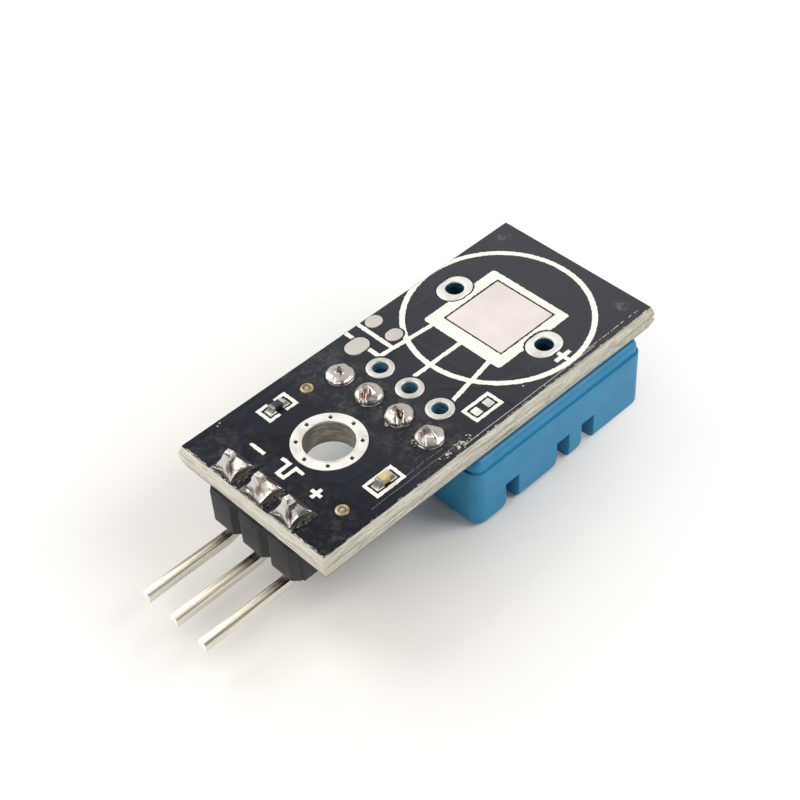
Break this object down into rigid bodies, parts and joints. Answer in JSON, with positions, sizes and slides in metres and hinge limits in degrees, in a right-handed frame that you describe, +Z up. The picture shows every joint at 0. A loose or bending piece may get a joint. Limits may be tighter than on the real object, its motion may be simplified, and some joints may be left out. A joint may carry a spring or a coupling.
{
  "type": "temperature humidity sensor module",
  "caption": "Small black circuit board with a slotted blue sensor case under one end, a right-angle pin header at the other and a plated screw hole.",
  "frame": {"origin": "under the middle of the whole object, in the plane of the sensor case's front face, which it rests on", "axes": "+X along the board from the header to the sensor, +Y across the board, +Z up out of the solder side"},
  "size_m": [0.0342, 0.0126, 0.009],
  "materials": {
    "laminate": "cut glass-fibre edge",
    "solder_mask": "black lacquer",
    "white_ink": "printed ink",
    "tinned_copper": "dull tin",
    "solder": "bright solder",
    "pin_metal": "plated pin",
    "header_plastic": "moulded black",
    "case_plastic": "satin blue moulding",
    "resistor_ceramic": "dark glazed",
    "capacitor_ceramic": "tan",
    "inner_laminate": "green board",
    "sensing_ceramic": "pale plate",
    "bead_glass": "dark bead",
    "resin": "black resin"
  },
  "bodies": {
    "root": {"circuit_board": "laminate", "solder_mask_upper": "solder_mask", "solder_mask_lower": "solder_mask", "silkscreen": "white_ink", "mounting_hole_plating": "tinned_copper", "header_pads": "tinned_copper", "lead_pads": "tinned_copper", "spare_row_pads": "tinned_copper", "disc_pads": "tinned_copper", "small_vias": "tinned_copper", "centre_contact_pad": "tinned_copper", "test_pads": "tinned_copper", "chip_pads": "tinned_copper", "header_housing": "header_plastic", "resistor_body": "resistor_ceramic", "resistor_terminals": "solder", "resistor_solder": "solder", "capacitor_body": "capacitor_ceramic", "capacitor_terminals": "solder", "capacitor_solder": "solder", "sensor_shell": "case_plastic", "sensor_back_cover": "case_plastic", "inner_board": "inner_laminate", "humidity_element": "sensing_ceramic", "thermistor": "bead_glass", "controller_blob": "resin", "header_pin_1": "pin_metal", "header_solder_1": "solder", "header_pin_2": "pin_metal", "header_solder_2": "solder", "header_pin_3": "pin_metal", "header_solder_3": "solder", "sensor_lead_1": "pin_metal", "sensor_solder_1": "solder", "sensor_lead_2": "pin_metal", "sensor_solder_2": "solder", "sensor_lead_3": "pin_metal", "sensor_solder_3": "solder", "sensor_lead_4": "pin_metal", "sensor_solder_4": "solder"}
  },
  "joints": []
}
